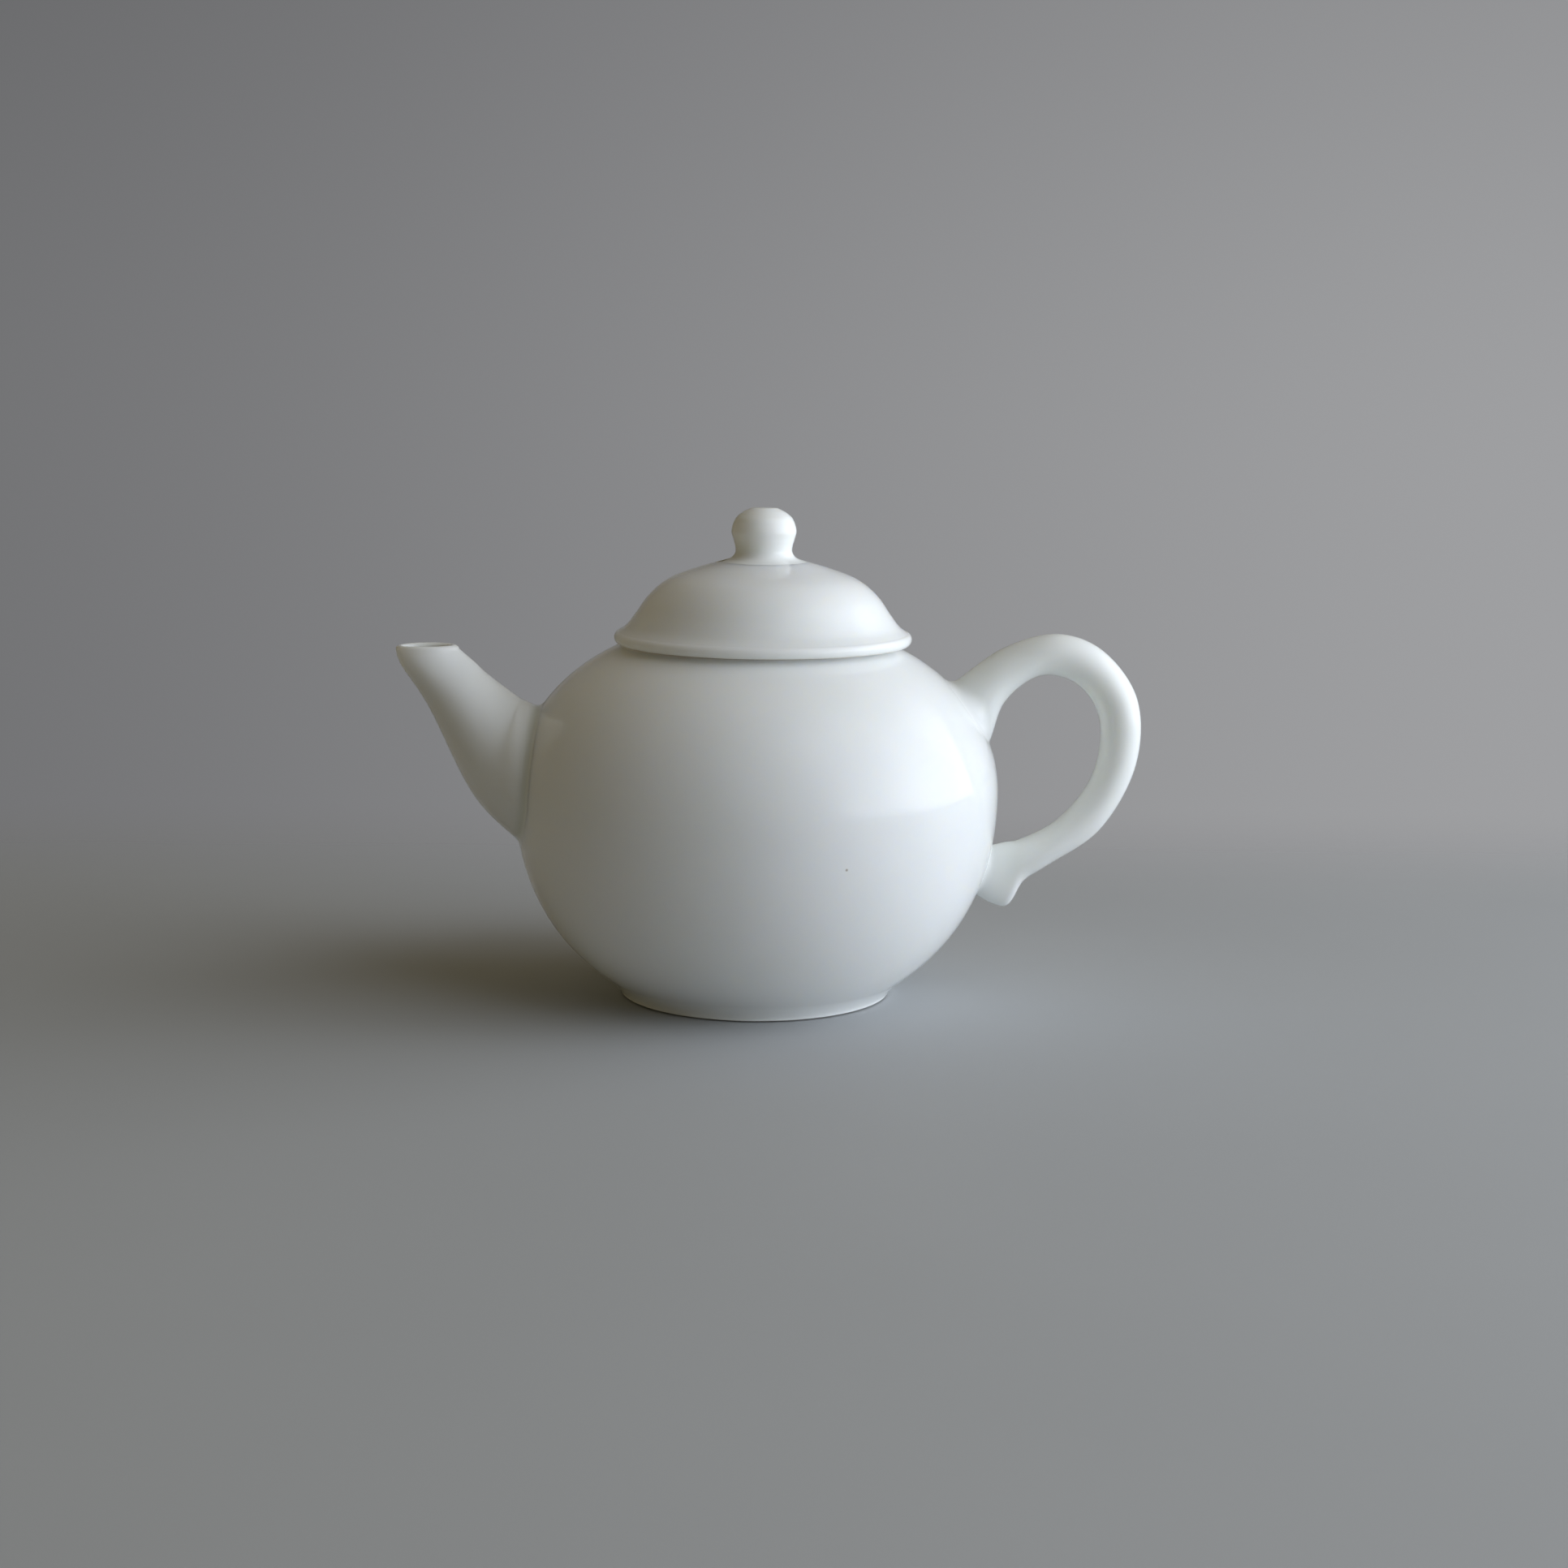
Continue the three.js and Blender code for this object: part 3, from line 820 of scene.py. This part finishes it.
def floor_material():
    """A plain pale board that fades into the backdrop away from the pot."""
    material = bpy.data.materials.new("pale_floor")
    material.use_nodes = True
    nodes = material.node_tree.nodes
    links = material.node_tree.links
    shader = nodes["Principled BSDF"]
    shader.inputs["Roughness"].default_value = 0.6
    shader.inputs["Specular IOR Level"].default_value = 0.08
    coords = nodes.new("ShaderNodeTexCoord")
    dimming = 0.97
    darker = tuple(dimming * value for value in FLOOR_COLOUR)
    patches = noise(nodes, links, coords, scale=9, detail=3)
    mottled = ramp(nodes, links, patches, 0.3, 0.7, darker, FLOOR_COLOUR)
    links.new(mottled, shader.inputs["Base Color"])
    distance = nodes.new("ShaderNodeVectorMath")
    distance.operation = "LENGTH"
    links.new(coords.outputs["Object"], distance.inputs[0])
    place = nodes.new("ShaderNodeSeparateXYZ")
    links.new(coords.outputs["Object"], place.inputs["Vector"])
    far_off = slide(nodes, links, distance.outputs["Value"], 0.3, 0.9, 0, 1)
    behind = slide(nodes, links, place.outputs["Y"], 0.06, 0.19, 0, 1)
    rays = nodes.new("ShaderNodeLightPath")
    fade = combine(nodes, links, "MAXIMUM", far_off, behind)
    faded = combine(nodes, links, "MULTIPLY", fade, rays.outputs["Is Camera Ray"])
    clear = nodes.new("ShaderNodeBsdfTransparent")
    mix = nodes.new("ShaderNodeMixShader")
    links.new(faded, mix.inputs["Fac"])
    links.new(shader.outputs["BSDF"], mix.inputs[1])
    links.new(clear.outputs["BSDF"], mix.inputs[2])
    links.new(mix.outputs["Shader"], nodes["Material Output"].inputs["Surface"])
    return material


def add_floor():
    """A wide square just below what the pot stands on."""
    reach = 1.5
    below_table = 0.02 * MM
    mesh = bpy.data.meshes.new("floor")
    corners = [(-reach, -reach, 0), (reach, -reach, 0), (reach, reach, 0), (-reach, reach, 0)]
    mesh.from_pydata(corners, [], [(0, 1, 2, 3)])
    floor = bpy.data.objects.new("floor", mesh)
    floor.location.z = -below_table
    bpy.context.scene.collection.objects.link(floor)
    mesh.materials.append(floor_material())


def add_window(name, azimuth, elevation, height, power, colour):
    """A rectangular lamp with soft edges, facing the pot; azimuth runs from the front towards +X."""
    target = Vector((0, 0, 40 * MM))
    way = Vector((cos(elevation) * sin(azimuth), -cos(elevation) * cos(azimuth), sin(elevation)))
    lamp = bpy.data.lights.new(name, "AREA")
    lamp.shape = "RECTANGLE"
    lamp.size = WINDOW_WIDTH
    lamp.size_y = height
    lamp.energy = power
    lamp.color = colour
    lamp.use_nodes = True
    soften_edges(lamp.node_tree.nodes, lamp.node_tree.links)
    holder = bpy.data.objects.new(name, lamp)
    facing = (-way).to_track_quat("-Z", "Y").to_matrix().to_4x4()
    holder.matrix_world = Matrix.Translation(target + way * WINDOW_DISTANCE) @ facing
    bpy.context.scene.collection.objects.link(holder)


def soften_edges(nodes, links):
    """Dims a rectangular lamp towards its edges, so that its reflection has no hard outline."""
    place = nodes.new("ShaderNodeNewGeometry")
    split = nodes.new("ShaderNodeSeparateXYZ")
    links.new(place.outputs["Parametric"], split.inputs["Vector"])
    fades = []
    for axis in "XY":
        off_middle = combine(nodes, links, "SUBTRACT", split.outputs[axis], 0.5)
        fades.append(slide(nodes, links, combine(nodes, links, "ABSOLUTE", off_middle, 0), 0.18, 0.5, 1, 0))
    links.new(combine(nodes, links, "MULTIPLY", *fades), nodes["Emission"].inputs["Strength"])


def by_direction(nodes, links, axis, low, high, low_value, high_value):
    """A number that goes from one value to another along an axis of the direction one looks in."""
    coords = nodes.new("ShaderNodeTexCoord")
    split = nodes.new("ShaderNodeSeparateXYZ")
    links.new(coords.outputs["Generated"], split.inputs["Vector"])
    return slide(nodes, links, split.outputs[axis], low, high, low_value, high_value)


def add_world():
    """A plain grey backdrop for the eye and for reflections, and a dim warm fill from the walls."""
    world = bpy.data.worlds.new("studio")
    bpy.context.scene.world = world
    world.use_nodes = True
    nodes = world.node_tree.nodes
    links = world.node_tree.links

    fill = nodes["Background"]
    fill.inputs["Color"].default_value = (*FILL, 1)
    ceiling = by_direction(nodes, links, "Z", 0.3, 0.8, 0, 0.4)
    front = by_direction(nodes, links, "Y", -0.9, -0.1, 0.25, 0)
    wall_behind = by_direction(nodes, links, "Y", -0.2, 0.6, 0, 0.9)
    left_side = by_direction(nodes, links, "X", -0.7, 0.1, 2.4, 0)
    near_horizon = by_direction(nodes, links, "Z", 0, 0.4, 1, 0)
    wall_left = combine(nodes, links, "MULTIPLY", left_side, near_horizon)
    walls = combine(nodes, links, "ADD", combine(nodes, links, "ADD", wall_behind, wall_left), front)
    links.new(combine(nodes, links, "ADD", ceiling, walls), fill.inputs["Strength"])

    backdrop = nodes.new("ShaderNodeBackground")
    across = by_direction(nodes, links, "X", -0.4, 0.4, 0.62, 1.38)
    lit_side = by_direction(nodes, links, "X", 0.4, 1, 0, 1.6)
    upwards = by_direction(nodes, links, "Z", -0.05, 0.25, 1, 0.75)
    level = combine(nodes, links, "MULTIPLY", combine(nodes, links, "ADD", across, lit_side), upwards)
    backdrop.inputs["Color"].default_value = (*BACKDROP, 1)
    links.new(level, backdrop.inputs["Strength"])

    rays = nodes.new("ShaderNodeLightPath")
    seen = rays.outputs["Is Camera Ray"]
    for kind in ("Is Glossy Ray", "Is Transmission Ray"):
        seen = combine(nodes, links, "MAXIMUM", seen, rays.outputs[kind])
    mix = nodes.new("ShaderNodeMixShader")
    links.new(seen, mix.inputs["Fac"])
    links.new(fill.outputs["Background"], mix.inputs[1])
    links.new(backdrop.outputs["Background"], mix.inputs[2])
    links.new(mix.outputs["Shader"], nodes["World Output"].inputs["Surface"])


def add_camera():
    """The photograph's camera, fitted to the outlines of the pot."""
    yaw = radians(0.601)
    pitch = radians(9.365)
    roll = radians(-0.586)
    photo_width_px = 1932
    focal_px = 3304.2
    place = (POT_X, -449.88 * MM, 110.09 * MM)
    forward = Vector((sin(yaw) * cos(pitch), cos(yaw) * cos(pitch), -sin(pitch)))
    level_right = Vector((cos(yaw), -sin(yaw), 0))
    level_down = forward.cross(level_right)
    right = cos(roll) * level_right + sin(roll) * level_down
    down = -sin(roll) * level_right + cos(roll) * level_down
    sensor_mm = 36
    data = bpy.data.cameras.new("camera")
    data.sensor_width = sensor_mm
    data.lens = sensor_mm * focal_px / photo_width_px
    camera = bpy.data.objects.new("camera", data)
    camera.matrix_world = Matrix.Translation(place) @ Matrix((right, -down, -forward)).transposed().to_4x4()
    bpy.context.scene.collection.objects.link(camera)
    bpy.context.scene.camera = camera


add_camera()
add_world()
add_window("window_in_front", radians(60), radians(28), height=1.6, power=8.2, colour=WINDOW_COLOUR)
add_window("window_behind", radians(98), radians(14), height=1.2, power=9, colour=WINDOW_COLOUR)
add_window("window_low", radians(70), radians(5), height=0.7, power=5, colour=LOW_WINDOW_COLOUR)
add_floor()

glaze = glaze_material()
biscuit = biscuit_material()
spout_outside, spout_bore, spout_crossings = spout_lines()
handle_outside = handle_lines()
spout_seam = tree_of(spout_crossings)
spout_end = tree_of([line[-1] for line in spout_outside])
handle_ends = tree_of([line[end] for line in handle_outside for end in (0, -1)])


def pool_and_crease_shade_by_seam(p):
    """Glaze gathers in the hollow where the spout meets the body, greener, and the crease's shade is
    painted there as a darker tint.
    """
    distance = spout_seam.find(p)[2]
    return 1 - distance / POOL_AND_CREASE_SHADE_WIDTH


def glow_from(ends):
    """Fades the glow within a limb out towards its ends, where it would leak into the body."""
    dark_end = DIM_WIDTH / 4
    return lambda p: min(LIMB_GLOW, (ends.find(p)[2] - dark_end) / DIM_WIDTH)


def bare_foot_or_lip(p):
    """The glaze is wiped off what the pot stands on and off the rim that carries the lid."""
    beside_ring = 0.3 * MM
    foot_border = 0.1 * MM
    wiped_lip = 0.35 * MM
    lip_border = 0.2 * MM
    on_foot = hypot(p.x - POT_X, p.y) > FOOT_RADIUS - FOOT_RING - beside_ring
    foot = 1 - (p.z - FOOT_GAP) / foot_border if on_foot else 0
    rim = (p.z - MOUTH_Z + wiped_lip) / lip_border
    return max(foot, rim)


def glow_in_body(p):
    """The glow fades out towards the foot, on bare clay and beside the handle's roots."""
    foot_fade = 5 * MM
    return min(1 - bare_foot_or_lip(p), p.z / foot_fade, handle_ends.find(p)[2] / DIM_WIDTH)


def bare_rest(p):
    """The lid's underside is bare where it rests on the body."""
    wiped = 0.1 * MM
    border = 0.15 * MM
    return 1 - (p.z - SEAT_Z - wiped) / border


def glow_in_knob(p):
    """The glow grows from the knob's foot upwards."""
    foot = DOME_Z + 0.5 * MM
    return min(LIMB_GLOW, (p.z - foot) / DIM_WIDTH)


globe = new_piece("pot_globe", mesh_from("pot_globe", make_body), "pot", "pot_body", glaze)
cut(globe, mesh_from("port", make_port))
# Painted crease shade, together with greener pooled glaze, beside the spout's seam
mark(globe.data, "pool_and_crease_shade", pool_and_crease_shade_by_seam)
mark(globe.data, "bare", bare_foot_or_lip)
mark(globe.data, "glow", glow_in_body)

spout = new_piece(
    "pot_spout",
    mesh_from("pot_spout", lambda bm: make_spout(bm, spout_outside, spout_bore)),
    "pot", "spout", glaze,
)
# Painted crease shade, together with greener pooled glaze, beside the spout's seam
mark(spout.data, "pool_and_crease_shade", pool_and_crease_shade_by_seam)
mark(spout.data, "glow", glow_from(spout_end))

handle = new_piece(
    "pot_handle",
    mesh_from("pot_handle", lambda bm: make_handle(bm, handle_outside)),
    "pot", "handle", glaze,
)
mark(handle.data, "glow", glow_from(handle_ends))

strainer = new_piece(
    "pot_strainer",
    mesh_from("pot_strainer", make_strainer),
    "pot", "spout_strainer", glaze,
)
cut(strainer, mesh_from("drills", make_sieve_drills))
mark(strainer.data, "glow", lambda p: 1)

dome = new_piece("lid_dome", mesh_from("lid_dome", make_lid), "lid", "lid", glaze)
cut(dome, mesh_from("vent", make_vent))
mark(dome.data, "bare", bare_rest)
mark(dome.data, "glow", lambda p: (p.z - SEAT_Z) / LID_RIM_FADE)

new_piece("lid_ring", mesh_from("lid_ring", make_collar), "lid", "lid_collar", biscuit)
knob = new_piece("lid_ball", mesh_from("lid_ball", make_knob), "lid", "lid_knob", glaze)
cut(knob, mesh_from("knob_vent", make_vent))
mark(knob.data, "glow", glow_in_knob)

bpy.context.scene.view_settings.view_transform = "Standard"
